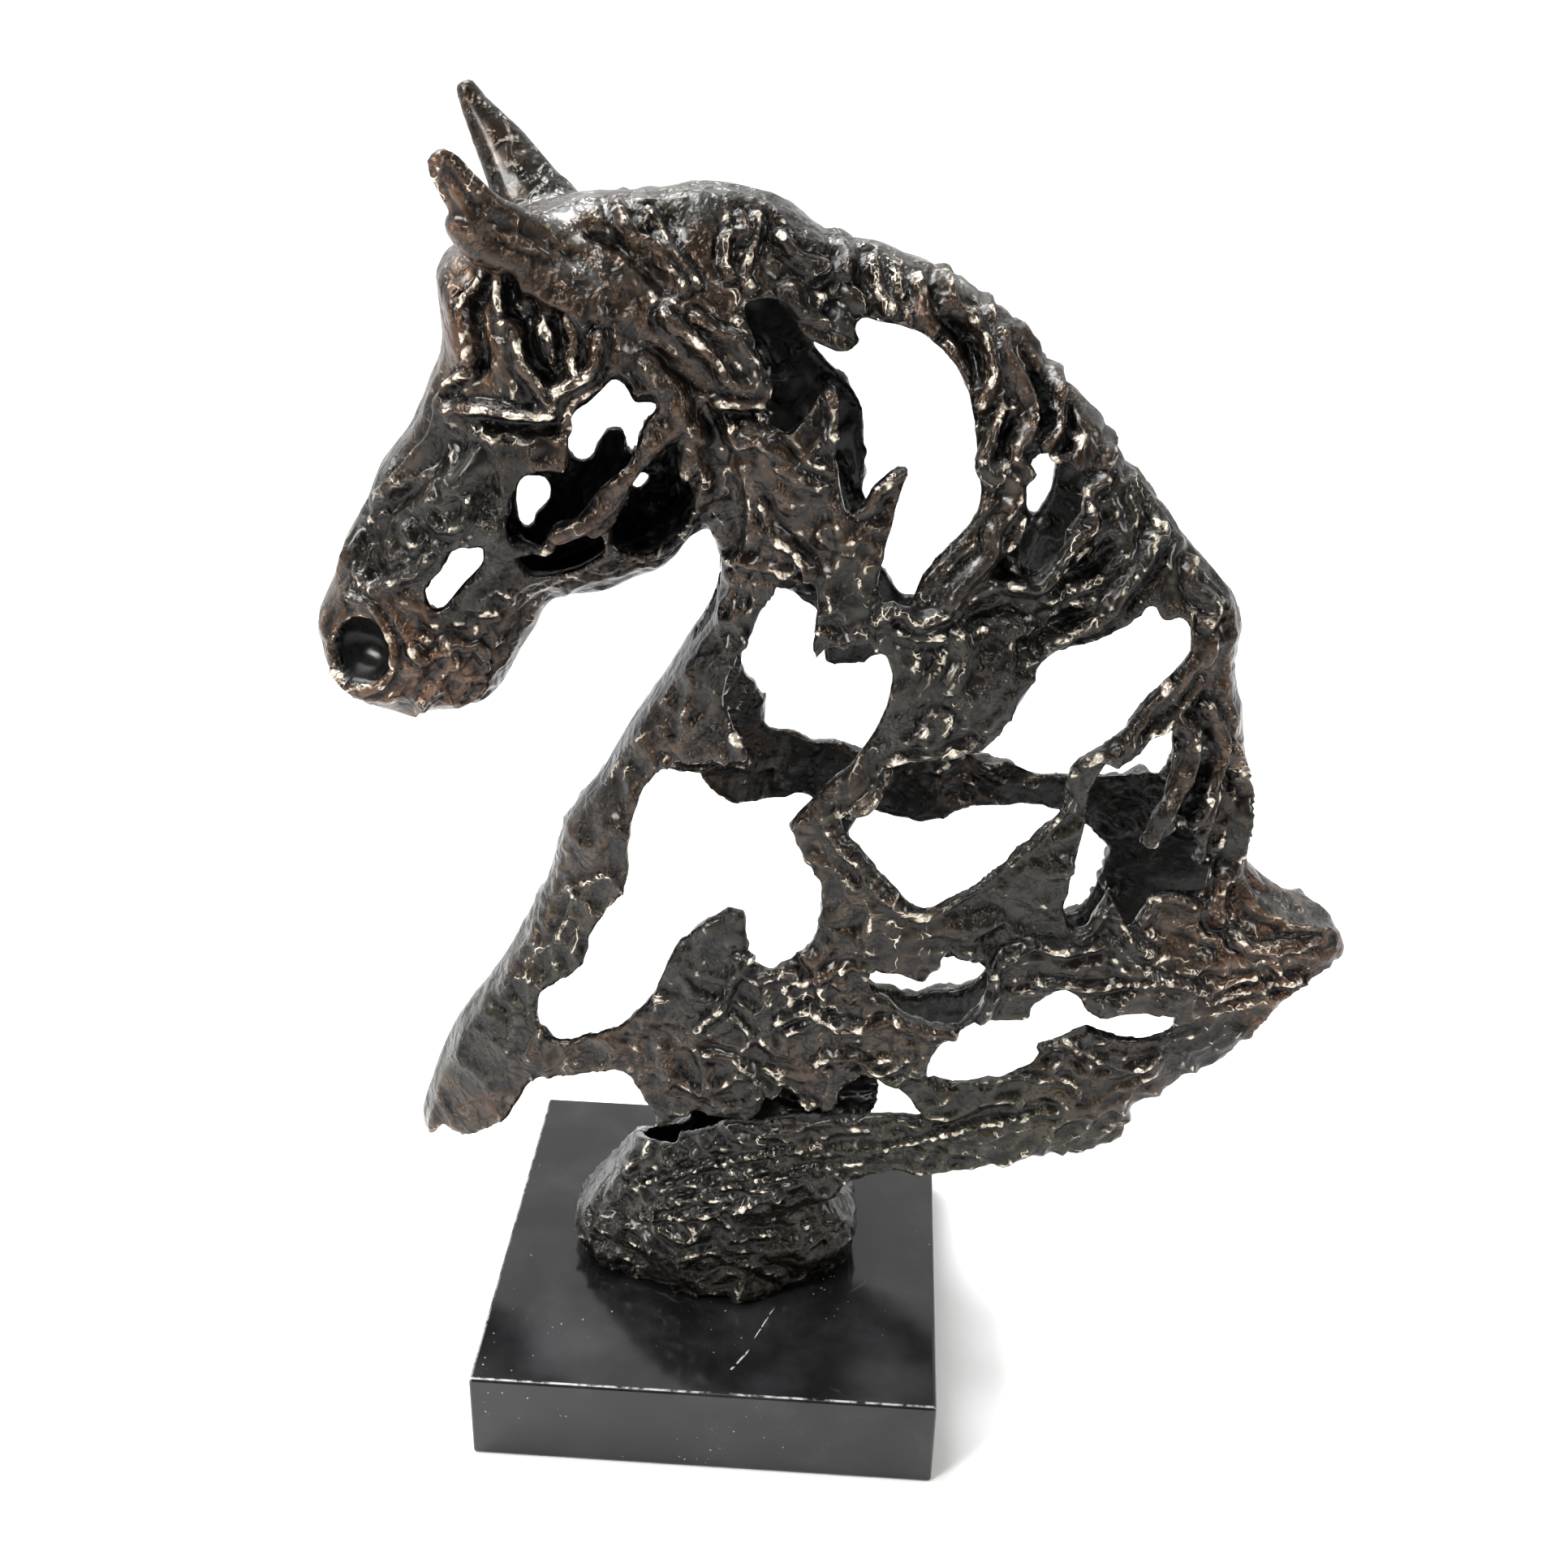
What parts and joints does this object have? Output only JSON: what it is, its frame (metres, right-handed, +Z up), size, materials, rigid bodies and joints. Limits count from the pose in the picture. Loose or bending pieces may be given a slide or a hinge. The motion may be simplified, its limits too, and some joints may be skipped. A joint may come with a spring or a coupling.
{
  "type": "horse head sculpture",
  "caption": "Openwork cast bronze horse head and neck, hollow and pierced, standing on a small foot on a square polished black marble plinth.",
  "frame": {"origin": "centre of the plinth's underside", "axes": "+Z up, -X where the nose points, -Y the side with the open cheek, which faces the viewer"},
  "size_m": [0.3162, 0.15, 0.4145],
  "materials": {
    "bronze": "dark brown patina, worn bright on its ridges",
    "marble": "polished black with thin white veins"
  },
  "bodies": {
    "root": {"horse_head": "bronze", "plinth": "marble"}
  },
  "joints": []
}
